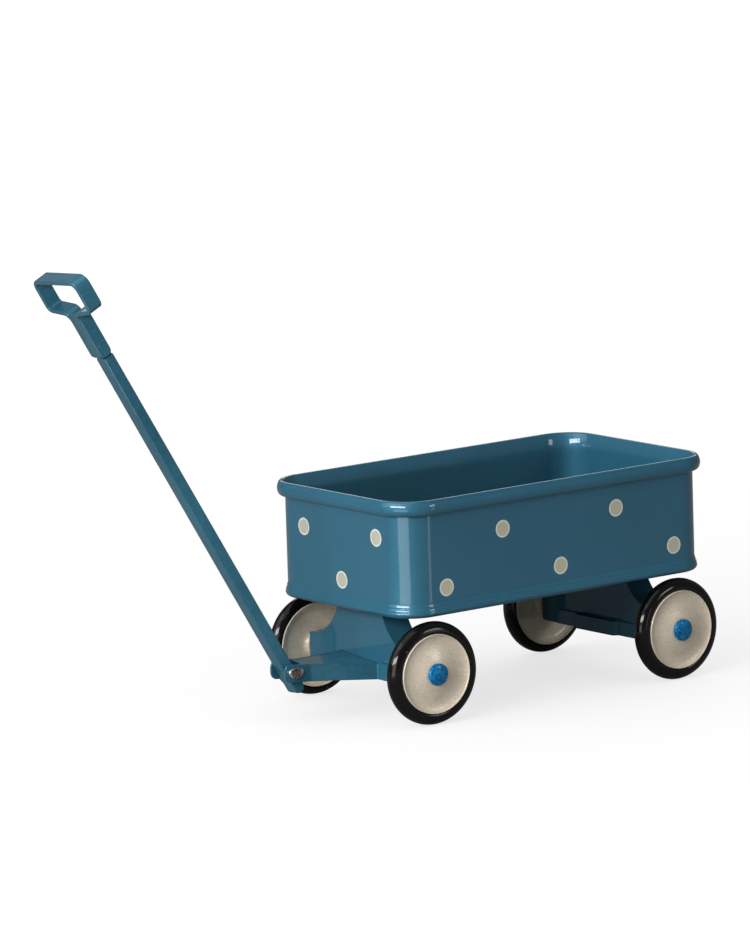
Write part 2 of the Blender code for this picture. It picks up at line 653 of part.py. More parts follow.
def make_drawbar(truck):
    """Two plates joined by a web, cut from one solid, with flanges against the bracket."""
    middle = (DRAWBAR_TOP_TIP + DRAWBAR_LOW_ROOT) / 2
    plan = prism_mesh(drawbar_plan(0.0, True), 8 * MM)
    drawbar = piece("drawbar", plan, PAINT, truck, (0, 0, middle))
    side = prism_mesh(drawbar_side(), 20 * MM, "YZ")
    boolean(drawbar, cutter("drawbar_side", side, truck), "INTERSECT")
    boolean(drawbar, cutter("drawbar_top", drawbar_top(), truck))
    bevel(drawbar, 0.2 * MM, 2, 50.0)
    tip_y = PIVOT_Y - DRAWBAR_TIP_AHEAD
    rise = (DRAWBAR_TOP_ROOT - DRAWBAR_TOP_TIP) / (BRACKET_FRONT - tip_y)
    depth = 10 * MM
    hollow = prism_mesh(drawbar_plan(DRAWBAR_PLATE, False), depth / 2)
    for vertex in hollow.vertices:
        vertex.co.z += DRAWBAR_TOP_TIP - SHEET - depth / 2 - DRAWBAR_TILT * vertex.co.x
    slope_along_y(hollow, rise, tip_y)
    boolean(drawbar, cutter("drawbar_hollow", hollow, truck))
    inner = DRAWBAR_TIP_HALF - DRAWBAR_PLATE
    slot = box_mesh((-inner, tip_y - 5 * MM, 0.0), (inner, PIVOT_Y + WEB_SETBACK, 25 * MM))
    boolean(drawbar, cutter("drawbar_slot", slot, truck))
    hole = cylinder_mesh(HANDLE_RIVET_RADIUS + RUNNING_GAP, 20 * MM, 24)
    boolean(drawbar, cutter("drawbar_rivet_hole", hole, truck, (0, PIVOT_Y, PIVOT_Z), (0, math.pi / 2, 0)))
    return drawbar


def bar_side():
    """The bar from its side, with a round tail: first across its thickness, then along it."""
    half = BAR_THICKNESS / 2
    return rounded_outline([
        (-half, -BAR_TAIL, half * 0.96),
        (half, -BAR_TAIL, half * 0.96),
        (half, BAR_TOP, 0.0),
        (-half, BAR_TOP, 0.0),
    ], 5)


def make_bar(handle):
    bar = piece("handle_bar", prism_mesh(bar_side(), BAR_WIDTH / 2, "YZ"), PAINT, handle)
    bar.location = (BAR_OFFSET, -BAR_SETBACK, 0)
    bevel(bar, BAR_EDGE, 2, 50.0)
    for side, sign in (("left", 1), ("right", -1)):
        edges = sorted((sign * REBATE_HALF, sign * BAR_WIDTH))
        rebate = box_mesh((edges[0], -BAR_THICKNESS, GRIP_LEAF_END - 0.3 * MM),
                          (edges[1], BAR_THICKNESS, BAR_TOP + 5 * MM))
        boolean(bar, cutter("bar_rebate_" + side, rebate, handle, (BAR_OFFSET, 0, 0)))
    hole = cylinder_mesh(HANDLE_RIVET_RADIUS + 0.35 * MM, 12 * MM, 24)
    boolean(bar, cutter("bar_hole", hole, handle, (0, 0, 0), (0, math.pi / 2, 0)))


def grip_path():
    """Half of the grip's strip, from a leaf's end out to the side and up to the crossbar's middle."""
    leaf = REBATE_HALF + SEAT_GAP + GRIP_STRIP / 2
    side = GRIP_HALF - GRIP_STRIP / 2
    shoulder = GRIP_SHOULDER + GRIP_STRIP / 2
    top = GRIP_TOP - GRIP_STRIP / 2
    return [
        (leaf, GRIP_LEAF_END, 0.0),
        (leaf, shoulder - 0.7 * MM, 1.9 * MM),
        (side, shoulder + 0.4 * MM, 1.7 * MM),
        (side, top, 2.4 * MM),
    ]


def make_grip(handle):
    """A flat strip bent into a loop, with its two ends laid along the bar."""
    half = grip_path()
    path = open_path(half + [(-x, z, r) for x, z, r in half[::-1]], 5)
    loop = prism_mesh(ribbon(path, GRIP_STRIP), GRIP_STRIP_WIDTH / 2, "XZ")
    grip = piece("handle_grip", loop, PAINT, handle)
    grip.location = (BAR_OFFSET, GRIP_SHIFT, 0)
    neck = GRIP_SHOULDER - 2.5 * MM
    side = prism_mesh(rounded_outline([
        (-GRIP_LEAF_WIDTH / 2, GRIP_LEAF_END, 1.5 * MM),
        (GRIP_LEAF_WIDTH / 2, GRIP_LEAF_END, 1.5 * MM),
        (GRIP_LEAF_WIDTH / 2, neck, 3.0 * MM),
        (GRIP_STRIP_WIDTH / 2 + 0.2 * MM, GRIP_SHOULDER, 2.0 * MM),
        (GRIP_STRIP_WIDTH / 2 + 0.2 * MM, GRIP_TOP + 5 * MM, 0.0),
        (-GRIP_STRIP_WIDTH / 2 - 0.2 * MM, GRIP_TOP + 5 * MM, 0.0),
        (-GRIP_STRIP_WIDTH / 2 - 0.2 * MM, GRIP_SHOULDER, 2.0 * MM),
        (-GRIP_LEAF_WIDTH / 2, neck, 3.0 * MM),
    ], 3), 20 * MM, "YZ")
    boolean(grip, cutter("grip_side", side, handle, (0, GRIP_SHIFT, 0)), "INTERSECT")
    bevel(grip, 0.3 * MM, 2, 50.0)


def make_front_truck(wagon):
    """The steered bracket with the drawbar, its axle and wheels, and the handle on its rivet."""
    truck = empty("steering_axis", wagon, (0, FRONT_AXLE_Y, 0), (0, 0, STEER_REST))
    top = TRAY_BOTTOM - KINGPIN_WASHER - 2 * SEAT_GAP
    make_bracket("front_bracket", truck, top, [(0.0, KINGPIN_RADIUS)])
    washer_top = TRAY_BOTTOM - SEAT_GAP
    hole = KINGPIN_RADIUS + SEAT_GAP
    washer = piece("kingpin_washer", profile_mesh([
        (hole, washer_top),
        (KINGPIN_WASHER_RADIUS, washer_top),
        (KINGPIN_WASHER_RADIUS, washer_top - KINGPIN_WASHER),
        (hole, washer_top - KINGPIN_WASHER),
    ], True), STEEL, wagon, (0, FRONT_AXLE_Y, 0))
    turned(washer, 20)
    grip = 2 * SHEET + KINGPIN_WASHER + 3 * SEAT_GAP
    profile = flush_profile(KINGPIN_RADIUS, KINGPIN_HEAD, 1.2 * MM, grip, 0.95 * KINGPIN_HEAD)
    make_pin("kingpin", wagon, (0, FRONT_AXLE_Y, TRAY_BOTTOM + SHEET), (0, 0, 0), profile)
    make_drawbar(truck)
    make_axle("front_axle", truck, 0.0)
    for side, sign in (("left", 1), ("right", -1)):
        make_wheel("front_" + side + "_wheel", truck, sign, 0.0)
    width = 2 * DRAWBAR_TIP_HALF + 2 * SEAT_GAP
    profile = rivet_profile(HANDLE_RIVET_RADIUS, HANDLE_RIVET_HEAD, HANDLE_RIVET_DOME, width,
                            0.9 * HANDLE_RIVET_HEAD)
    make_pin("handle_rivet", truck, (width / 2, PIVOT_Y, PIVOT_Z), (0, math.pi / 2, 0), profile)
    axis = empty("handle_axis", truck, (0, PIVOT_Y, PIVOT_Z), (math.pi / 2 - HANDLE_ELEVATION, 0, 0))
    handle = empty("handle_lean", axis, (0, 0, 0), (0, -HANDLE_LEAN, 0))
    make_bar(handle)
    make_grip(handle)


def stand_on_origin(wagon):
    """Moves the wagon so that the middle of its box stands on the origin."""
    graph = bpy.context.evaluated_depsgraph_get()
    corners = []
    for obj in PARTS.objects:
        if obj.type == "MESH":
            evaluated = obj.evaluated_get(graph)
            corners.extend(evaluated.matrix_world @ v.co for v in evaluated.data.vertices)
    low = Vector(min(c[i] for c in corners) for i in range(3))
    high = Vector(max(c[i] for c in corners) for i in range(3))
    wagon.location = (-(low.x + high.x) / 2, -(low.y + high.y) / 2, -low.z)
    bpy.context.view_layer.update()
    print("size in mm", [round(v / MM, 2) for v in high - low])
    for name in ("steering_axis", "handle_axis"):
        matrix = bpy.data.objects[name].matrix_world
        print(name, [round(v, 6) for v in matrix.translation], "x axis", [round(v, 6) for v in matrix.col[0][:3]])


WAGON = empty("wagon_frame")
make_tray(WAGON)
make_rear_truck(WAGON)
make_front_truck(WAGON)
stand_on_origin(WAGON)
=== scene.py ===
"""A toy pull wagon of pressed and enamelled metal, seen from its front left corner.

Front is -Y, the wagon's left is +X and +Z is up, in metres.
"""
import json
import math

import bmesh
import bpy
from mathutils import Matrix, Vector

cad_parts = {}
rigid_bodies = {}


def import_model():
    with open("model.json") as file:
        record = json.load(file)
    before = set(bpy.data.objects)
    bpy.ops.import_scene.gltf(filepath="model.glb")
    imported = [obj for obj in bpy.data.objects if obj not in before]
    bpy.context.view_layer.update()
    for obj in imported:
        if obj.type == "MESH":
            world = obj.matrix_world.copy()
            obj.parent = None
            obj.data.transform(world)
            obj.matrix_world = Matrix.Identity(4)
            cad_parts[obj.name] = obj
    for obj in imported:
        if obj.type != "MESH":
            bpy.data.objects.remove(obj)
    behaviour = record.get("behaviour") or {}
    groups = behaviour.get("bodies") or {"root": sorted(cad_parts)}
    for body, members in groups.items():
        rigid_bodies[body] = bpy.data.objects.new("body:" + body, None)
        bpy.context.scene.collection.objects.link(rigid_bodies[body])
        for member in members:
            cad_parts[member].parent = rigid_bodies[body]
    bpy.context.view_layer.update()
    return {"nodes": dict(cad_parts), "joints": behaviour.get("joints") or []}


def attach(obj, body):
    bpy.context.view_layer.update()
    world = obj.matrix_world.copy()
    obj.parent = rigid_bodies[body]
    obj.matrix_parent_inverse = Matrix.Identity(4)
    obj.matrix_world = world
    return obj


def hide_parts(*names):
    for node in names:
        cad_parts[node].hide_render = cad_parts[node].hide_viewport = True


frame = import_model()
nodes = frame["nodes"]

# Camera
# A long lens looks at the wagon's near corner from slightly above.
scene = bpy.context.scene
scene.view_settings.view_transform = "Standard"

camera_data = bpy.data.cameras.new("camera")
camera_data.lens = 311.03
camera_data.sensor_width = 36.0
camera_data.clip_end = 20.0
camera = bpy.data.objects.new("camera", camera_data)
camera_place = Vector((1.8695, -1.45006, 0.4752))
camera_right = Vector((0.6164, 0.7868, -0.0308)).normalized()
camera_back = Vector((0.7792, -0.6038, 0.1681))
camera_back = (camera_back - camera_right * camera_back.dot(camera_right)).normalized()
camera_up = camera_back.cross(camera_right)
camera_turn = Matrix((camera_right, camera_up, camera_back)).transposed()
camera.matrix_world = Matrix.Translation(camera_place) @ camera_turn.to_4x4()
scene.collection.objects.link(camera)
scene.camera = camera

# Table and room
# The wagon stands on a white table in a white room. Only the camera sees them that bright: glossy paint
# mirrors a dim room, and the table keeps the wagon's soft shadow.


def new_material(name):
    """A material, with its node tree and its Principled node."""
    material = bpy.data.materials.new(name)
    material.use_nodes = True
    return material, material.node_tree, material.node_tree.nodes["Principled BSDF"]


def combine(tree, kind, a, b):
    """One math node over two values, each a socket or a number."""
    node = tree.nodes.new("ShaderNodeMath")
    node.operation = kind
    for socket, value in zip(node.inputs, (a, b)):
        if isinstance(value, (int, float)):
            socket.default_value = value
        else:
            tree.links.new(value, socket)
    return node.outputs[0]


def spread(tree, value, low, high, out_low, out_high):
    """Stretches a value's range from low..high to out_low..out_high, clamped."""
    node = tree.nodes.new("ShaderNodeMapRange")
    for label, number in (("From Min", low), ("From Max", high), ("To Min", out_low), ("To Max", out_high)):
        node.inputs[label].default_value = number
    tree.links.new(value, node.inputs["Value"])
    return node.outputs["Result"]


def distance_from(tree, place, centre):
    """How far a place in the shader lies from a centre."""
    shift = tree.nodes.new("ShaderNodeVectorMath")
    shift.operation = "SUBTRACT"
    shift.inputs[1].default_value = centre
    tree.links.new(place, shift.inputs[0])
    length = tree.nodes.new("ShaderNodeVectorMath")
    length.operation = "LENGTH"
    tree.links.new(shift.outputs["Vector"], length.inputs[0])
    return length.outputs["Value"]


floor_mesh = bpy.data.meshes.new("table")
floor_mesh.from_pydata([(-6, -6, 0), (6, -6, 0), (6, 6, 0), (-6, 6, 0)], [], [(0, 1, 2, 3)])
floor = bpy.data.objects.new("table", floor_mesh)
scene.collection.objects.link(floor)
floor_paint, tree, surface = new_material("white_table")
surface.inputs["Base Color"].default_value = (0.21, 0.21, 0.21, 1)
surface.inputs["Roughness"].default_value = 0.9
surface.inputs["Specular IOR Level"].default_value = 0.0
surface.inputs["Emission Color"].default_value = (1, 1, 1, 1)
floor_mesh.materials.append(floor_paint)

# The table's glow is painted dimmer near the wagon and darker where its parts crowd above: a painted contact
# shadow, which the paint also mirrors.
where = tree.nodes.new("ShaderNodeTexCoord").outputs["Object"]
painted_falloff_near_wagon = spread(tree, distance_from(tree, where, (0.0, 0.0, 0.0)), 0.2, 1.2, 0.83, 0.97)
nearness = tree.nodes.new("ShaderNodeAmbientOcclusion")
nearness.inputs["Distance"].default_value = 0.2
painted_contact_shadow = spread(tree, nearness.outputs["AO"], 0.0, 1.0, 0.86, 1.0)
ray = tree.nodes.new("ShaderNodeLightPath").outputs
seen_white = combine(tree, "MULTIPLY", combine(tree, "MULTIPLY", painted_falloff_near_wagon, painted_contact_shadow), ray["Is Camera Ray"])
mirrored = combine(tree, "MAXIMUM", ray["Is Glossy Ray"], ray["Is Transmission Ray"])
mirrored_grey = combine(tree, "MULTIPLY", combine(tree, "MULTIPLY", nearness.outputs["AO"], 0.10), mirrored)
glow = combine(tree, "MAXIMUM", seen_white, mirrored_grey)
tree.links.new(glow, surface.inputs["Emission Strength"])

world = bpy.data.worlds.new("studio")
scene.world = world
world.use_nodes = True
tree = world.node_tree
sky = tree.nodes["Background"]
sky.inputs["Color"].default_value = (1.0, 1.0, 1.0, 1)
ray = tree.nodes.new("ShaderNodeLightPath").outputs
mirrored = combine(tree, "MAXIMUM", ray["Is Glossy Ray"], ray["Is Transmission Ray"])
lit = spread(tree, mirrored, 0.0, 1.0, 0.2, 0.15)
backdrop = tree.nodes.new("ShaderNodeMix")
backdrop.inputs["B"].default_value = 1.0
tree.links.new(ray["Is Camera Ray"], backdrop.inputs["Factor"])
tree.links.new(lit, backdrop.inputs["A"])
tree.links.new(backdrop.outputs["Result"], sky.inputs["Strength"])

# Lamps
# A wide, low softbox stands in front of the wagon, with weaker ones beside, behind and above it. Two
# small cards close to the near corner, at the height of the tray's bead, are mirrored in that corner.


def softbox(name, azimuth, elevation, distance, width, height, power, target=(0.0, 0.02, 0.05)):
    """A lamp that looks at the wagon. The azimuth runs from +X towards -Y, in degrees."""
    data = bpy.data.lights.new(name, "AREA")
    data.shape = "RECTANGLE"
    data.size = width
    data.size_y = height
    data.energy = power
    lamp = bpy.data.objects.new(name, data)
    round_by, up_by = math.radians(azimuth), math.radians(elevation)
    level = math.cos(up_by)
    way = Vector((math.cos(round_by) * level, -math.sin(round_by) * level, math.sin(up_by)))
    lamp.location = Vector(target) + way * distance
    lamp.rotation_euler = way.to_track_quat("Z", "Y").to_euler()
    lamp.visible_camera = False
    scene.collection.objects.link(lamp)
    return lamp


softbox("front_softbox", 74, 21, 1.3, 0.98, 0.27, 13.0)
softbox("left_softbox", 102, 35, 1.6, 1.5, 1.2, 6.6)
softbox("right_softbox", -27.3, 16, 1.3, 0.33, 0.30, 1.5)
softbox("back_softbox", -142, 30, 1.5, 1.0, 0.8, 4.5)
softbox("top_softbox", 80, 64, 1.5, 1.6, 1.2, 4.4)
near_corner = (0.029, -0.013, 0.032)
low_card = softbox("low_card", 65, 0, 0.17, 0.125, 0.06, 0.056, near_corner)
low_card.data.color = (1.0, 0.93, 0.86)
softbox("low_strip", -31, 0, 0.17, 0.026, 0.06, 0.0055, near_corner)

# Tray
# The tray is one deep drawn sheet of steel, stove enamelled in a glossy mid blue. Its rim is rolled
# outwards over a wire, and a stepped bead stiffens the wall above the floor.
MM = 0.001
half_width, half_length, corner_radius = 31.9 * MM, 57.6 * MM, 9.5 * MM
tray_low, tray_high, sheet = 32.0 * MM, 67.5 * MM, 0.8 * MM
floor_fillet, bead_depth, base_round = 2.0 * MM, 0.8 * MM, 1.5 * MM
corner_steps = 20
tray_box = nodes["tray"].bound_box
tray_place = Vector((0.0, (tray_box[0][1] + tray_box[6][1]) / 2, tray_box[0][2] - tray_low))

# Offset from the outer wall and height from the tray's top, in millimetres, over the rolled rim.
rim_outline = [
    (-0.80, -6.2), (-0.79, -5.6), (-0.76, -5.0), (-0.70, -4.4), (-0.60, -3.8), (-0.47, -3.2), (-0.32, -2.6),
    (-0.15, -2.05), (0.04, -1.55), (0.24, -1.1), (0.45, -0.75), (0.68, -0.52), (0.92, -0.41), (1.16, -0.38),
    (1.45, -0.48), (1.75, -0.74), (2.02, -1.16), (2.23, -1.7), (2.35, -2.25), (2.4, -2.8), (2.35, -3.35),
    (2.2, -3.9), (1.94, -4.4), (1.56, -4.78), (1.1, -4.96), (0.62, -4.98), (0.22, -4.86), (0.0, -4.55)]
# Offset from the outer wall and height from the tray's underside, in millimetres, down the bead's steps.
bead_outline = [
    (0.0, 18.0), (0.0, 4.42), (0.01, 4.3), (-0.03, 4.2), (0.0, 4.12), (0.09, 4.02), (0.16, 3.82),
    (0.225, 3.62), (0.285, 3.44), (0.32, 3.26), (0.33, 3.10), (0.32, 2.98), (0.34, 2.88), (0.42, 2.77),
    (0.50, 2.64), (0.56, 2.48), (0.605, 2.32), (0.645, 2.16), (0.67, 2.0), (0.685, 1.84), (0.70, 1.7),
    (0.73, 1.6)]


def arc(centre, radii, start, end, steps):
    """Points on an ellipse's arc, in degrees."""
    angles = [math.radians(start + (end - start) * k / steps) for k in range(steps + 1)]
    return [(centre[0] + radii[0] * math.cos(t), centre[1] + radii[1] * math.sin(t)) for t in angles]


def catmull(a, b, c, d, t):
    """A value between b and c on a smooth line through a, b, c and d."""
    bend = (2 * a - 5 * b + 4 * c - d) * t * t
    return 0.5 * (2 * b + (c - a) * t + bend + (3 * b - a - 3 * c + d) * t ** 3)


def tray_section():
    """The wall's section as (offset from the outer wall, height), from the floor over the rim to the base."""
    fillet_middle = (-sheet - floor_fillet, tray_low + sheet + floor_fillet)
    points = arc(fillet_middle, (floor_fillet, floor_fillet), -90, 0, 10)
    points += [(-sheet, tray_high - depth * MM) for depth in (22.0, 6.6)]
    for corners in zip(rim_outline, rim_outline[1:], rim_outline[2:], rim_outline[3:]):
        for t in (0.0, 0.5):
            offset, height = (catmull(*values, t) for values in zip(*corners))
            points.append((offset * MM, tray_high + height * MM))
    points.append((0.0, tray_high - 4.5 * MM))
    points += [(offset * MM, tray_low + height * MM) for offset, height in bead_outline]
    points += arc((bead_depth - base_round, tray_low + base_round), (base_round, base_round), 0, -90, 10)
    return points


def tray_ring(bm, offset, height):
    """One level of the tray, a rounded rectangle at an offset from the outer wall.

    Both ends of a corner's arc have one more point, half a millimetre on, which keeps the walls flat.
    """
    radius = corner_radius + offset
    ring = []
    for quarter, (side, end) in enumerate(((1, 1), (-1, 1), (-1, -1), (1, -1))):
        for step in range(-1, corner_steps + 2):
            angle = math.pi / 2 * (quarter + min(max(step, 0), corner_steps) / corner_steps)
            onward = 0.5 * MM * ((step < 0) - (step > corner_steps))
            x = side * (half_width - corner_radius) + radius * math.cos(angle) + onward * math.sin(angle)
            y = end * (half_length - corner_radius) + radius * math.sin(angle) - onward * math.cos(angle)
            ring.append(bm.verts.new(tray_place + Vector((x, y, height))))
    return ring


def finish_mesh(bm, name, materials, smooth_angle):
    """Makes an object of a bmesh, with smooth faces and crisp edges over the angle."""
    bmesh.ops.recalc_face_normals(bm, faces=bm.faces)
    limit = math.radians(smooth_angle)
    for face in bm.faces:
        face.smooth = True
    for edge in bm.edges:
        edge.smooth = len(edge.link_faces) != 2 or edge.calc_face_angle() < limit
    mesh = bpy.data.meshes.new(name)
    bm.to_mesh(mesh)
    bm.free()
    for material in materials:
        mesh.materials.append(material)
    piece = bpy.data.objects.new(name, mesh)
    scene.collection.objects.link(piece)
    return piece


def noise(tree, place, scale, detail=2.0, roughness=0.5):
    """A noise texture in the piece's own metres."""
    node = tree.nodes.new("ShaderNodeTexNoise")
    node.inputs["Scale"].default_value = scale
    node.inputs["Detail"].default_value = detail
    node.inputs["Roughness"].default_value = roughness
    tree.links.new(place, node.inputs["Vector"])
    return node.outputs["Fac"]


def mix_colours(tree, factor, a, b, kind="MIX"):
    """Mixes two colours, each a socket or three numbers, by a factor."""
    node = tree.nodes.new("ShaderNodeMix")
    node.data_type = "RGBA"
    node.blend_type = kind
    tree.links.new(factor, node.inputs["Factor"])
    for label, colour in (("A", a), ("B", b)):
        if isinstance(colour, tuple):
            node.inputs[label].default_value = (*colour, 1)
        else:
            tree.links.new(colour, node.inputs[label])
    return node.outputs["Result"]


def bumped(tree, height, strength, distance):
    """The surface's normal, bumped by a height."""
    node = tree.nodes.new("ShaderNodeBump")
    node.inputs["Strength"].default_value = strength
    node.inputs["Distance"].default_value = distance
    tree.links.new(height, node.inputs["Height"])
    return node.outputs["Normal"]


# Stoved enamel: the sheet wobbles a little under the gloss, the film has a fine orange peel, its colour
# drifts and is finely grained, and a few pale specks of dust sit on it.
enamel_film = bpy.data.node_groups.new("enamel_film", "ShaderNodeTree")
for label in ("Wobble", "Peel", "Specks", "Grain"):
    socket = enamel_film.interface.new_socket(label, in_out="INPUT", socket_type="NodeSocketFloat")
    socket.default_value = 1.0
for label in ("Tone", "Dust", "Haze", "Height"):
    enamel_film.interface.new_socket(label, in_out="OUTPUT", socket_type="NodeSocketFloat")
level = enamel_film.nodes.new("NodeGroupInput").outputs
result = enamel_film.nodes.new("NodeGroupOutput").inputs
where = enamel_film.nodes.new("ShaderNodeTexCoord").outputs["Object"]
drift = spread(enamel_film, noise(enamel_film, where, 26.0, 3.0), 0.3, 0.7, 0.0, 0.72)
fine = spread(enamel_film, noise(enamel_film, where, 420.0), 0.3, 0.7, 0.0, 0.28)
sand = combine(enamel_film, "SUBTRACT", noise(enamel_film, where, 1700.0), 0.5)
sand = combine(enamel_film, "MULTIPLY", sand, level["Grain"])
tone = combine(enamel_film, "ADD", combine(enamel_film, "ADD", drift, fine), sand)
enamel_film.links.new(tone, result["Tone"])
cells = enamel_film.nodes.new("ShaderNodeTexVoronoi")
cells.inputs["Scale"].default_value = 210.0
cells.inputs["Randomness"].default_value = 1.0
enamel_film.links.new(where, cells.inputs["Vector"])
chance = enamel_film.nodes.new("ShaderNodeSeparateColor")
enamel_film.links.new(cells.outputs["Color"], chance.inputs["Color"])
rare = spread(enamel_film, chance.outputs["Red"], 0.86, 0.9, 0.0, 1.0)
speck = spread(enamel_film, cells.outputs["Distance"], 0.035, 0.075, 1.0, 0.0)
speck = combine(enamel_film, "MULTIPLY", combine(enamel_film, "MULTIPLY", speck, rare), level["Specks"])
enamel_film.links.new(speck, result["Dust"])
haze = spread(enamel_film, noise(enamel_film, where, 70.0, 4.0, 0.6), 0.35, 0.75, 0.0, 1.0)
enamel_film.links.new(haze, result["Haze"])
wobble = combine(enamel_film, "MULTIPLY", noise(enamel_film, where, 85.0, 1.0), level["Wobble"])
peel = combine(enamel_film, "MULTIPLY", noise(enamel_film, where, 700.0, 1.0), level["Peel"])
height = combine(enamel_film, "MULTIPLY", wobble, 0.9)
for part, share in ((peel, 0.007), (speck, 0.08)):
    height = combine(enamel_film, "ADD", height, combine(enamel_film, "MULTIPLY", part, share))
enamel_film.links.new(height, result["Height"])


def lay_film(tree, surface, deep, light, dust, smoothest, roughest, levels):
    """Gives a surface the film's drifting colour, dust and haze, and returns the film's height."""
    film = tree.nodes.new("ShaderNodeGroup")
    film.node_tree = enamel_film
    for label, value in levels.items():
        film.inputs[label].default_value = value
    drifting = mix_colours(tree, film.outputs["Tone"], deep, light)
    dusty = mix_colours(tree, combine(tree, "MULTIPLY", film.outputs["Dust"], 0.5), drifting, dust)
    tree.links.new(dusty, surface.inputs["Base Color"])
    roughness = spread(tree, film.outputs["Haze"], 0.0, 1.0, smoothest, roughest)
    tree.links.new(roughness, surface.inputs["Roughness"])
    return film.outputs["Height"]


def enamel(name, deep, light, metallic, roughness, wobble=1.0, peel=1.0, specks=1.0, grain=1.0, coat=1.0,
           coat_roughness=0.045):
    """A glossy stoved enamel that drifts between two close colours, with the film's effects scaled."""
    material, tree, surface = new_material(name)
    levels = {"Wobble": wobble, "Peel": peel, "Specks": specks, "Grain": grain}
    height = lay_film(tree, surface, deep, light, (0.45, 0.47, 0.46), roughness, roughness + 0.10, levels)
    surface.inputs["Metallic"].default_value = metallic
    surface.inputs["Specular IOR Level"].default_value = 0.1
    surface.inputs["Coat Weight"].default_value = coat
    surface.inputs["Coat Roughness"].default_value = coat_roughness
    normal = bumped(tree, height, 0.35, 0.0004)
    tree.links.new(normal, surface.inputs["Normal"])
    tree.links.new(normal, surface.inputs["Coat Normal"])
    return material


blue = enamel("blue_enamel", (0.029, 0.152, 0.240), (0.034, 0.170, 0.266), 0.38, 0.48)

# Inside the tray the blue is painted duller and greener, as painted shade: fully down the inner walls,
# less towards the back wall and fading out over the rim's crown.
tree = blue.node_tree
base_colour = tree.nodes["Principled BSDF"].inputs["Base Color"]
painted_inside_shade = tree.nodes.new("ShaderNodeAttribute")
painted_inside_shade.attribute_name = "inside"
full_colour = base_colour.links[0].from_socket
shaded_inside_colour = mix_colours(tree, painted_inside_shade.outputs["Fac"], full_colour, (1.04, 0.75, 0.68), "MULTIPLY")
tree.links.new(shaded_inside_colour, base_colour)

bm = bmesh.new()
# The inside weight sets where the painted shade falls, fading over the rim and towards the back wall.
inside = bm.verts.layers.float.new("inside")
section = tray_section()
rings = [tray_ring(bm, offset, height) for offset, height in section]
crown = max(height for offset, height in section)
for ring, (offset, height) in zip(rings, section):
    if height == crown:
        break
    for vert in ring:
        past_rear_corner = vert.co.y - tray_place.y - half_length + corner_radius
        back_wall = min(max(past_rear_corner / (corner_radius + offset), 0.0), 1.0)
        vert[inside] = min((crown - height) / (6.0 * MM), 1.0) * (1.0 - 0.85 * back_wall)
for low, high in zip(rings, rings[1:]):
    for i in range(len(low)):
        j = (i + 1) % len(low)
        bm.faces.new((low[i], low[j], high[j], high[i]))
bm.faces.new(rings[0])
bm.faces.new(rings[-1][::-1])
tray = finish_mesh(bm, "pressed_tray", [blue], 50.0)
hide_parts("tray")
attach(tray, "wagon")

# Polka dots
# Cream enamel dots are printed on the outer walls in two staggered rows. The paint stands a little
# proud at each dot's rim, where it drew together as it dried.
dot_radius, dot_lift, dot_steps = 2.64 * MM, 0.05 * MM, 40
# A dot's section from the wall over its raised rim, as shares of the radius and of the lift.
dot_outline = [(1.0, 0.0), (1.0, 0.5), (0.975, 0.9), (0.94, 1.0), (0.89, 0.9), (0.82, 0.7), (0.4, 0.6)]
dot_rim_end = 0.82
# Places along a wall and above the table, in millimetres.
end_places = [(-16.86, 54.5), (0.84, 40.6), (17.85, 55.25)]
side_places = [(-42.7, 40.2), (-21.05, 54.8), (0.65, 40.8), (22.4, 55.3), (44.5, 41.0)]


def dot_paint(name, deep, light):
    """A cream print with a weaker gloss than the blue enamel under it."""
    return enamel(name, deep, light, 0.0, 0.42, wobble=0.6, peel=0.5, specks=0.5, coat=0.6)


# The end walls' dots are painted darker and the side walls' dots lighter: painted shade and painted light
# that even out how differently the lamps light those walls.
dot_paints = [dot_paint("cream_dot", (0.440, 0.438, 0.360), (0.505, 0.500, 0.412)),
              dot_paint("cream_dot_edge", (0.660, 0.665, 0.585), (0.705, 0.705, 0.625)),
              dot_paint("side_dot", (0.560, 0.550, 0.425), (0.640, 0.630, 0.480)),
              dot_paint("side_dot_edge", (0.790, 0.790, 0.680), (0.830, 0.830, 0.730))]
end_paint_darkened, side_paint_lightened = 0, 2
# The front, back, left and right wall: the way along it, its middle, its dots' places and their paint.
walls = [(Vector((1, 0, 0)), Vector((0, -half_length, 0)), end_places, end_paint_darkened),
         (Vector((-1, 0, 0)), Vector((0, half_length, 0)), end_places, end_paint_darkened),
         (Vector((0, 1, 0)), Vector((half_width, 0, 0)), side_places, side_paint_lightened),
         (Vector((0, -1, 0)), Vector((-half_width, 0, 0)), side_places, side_paint_lightened)]
bm = bmesh.new()
for along, middle, places, paint in walls:
    outward = middle.normalized()
    rays = [along * math.cos(math.tau * k / dot_steps) + Vector((0, 0, math.sin(math.tau * k / dot_steps)))
            for k in range(dot_steps)]
    for across, height in places:
        centre = middle + tray_place + along * across * MM + Vector((0, 0, height * MM))
        rings = [[bm.verts.new(centre + outward * dot_lift * lift + dot_radius * share * way) for way in rays]
                 for share, lift in dot_outline]
        for low, high, (share, lift) in zip(rings, rings[1:], dot_outline[1:]):
            for i in range(dot_steps):
                j = (i + 1) % dot_steps
                face = bm.faces.new((low[i], low[j], high[j], high[i]))
                face.material_index = paint + (share >= dot_rim_end)
        for cap in (rings[-1], rings[0][::-1]):
            bm.faces.new(cap).material_index = paint
dots = finish_mesh(bm, "polka_dots", dot_paints, 60.0)
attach(dots, "wagon")

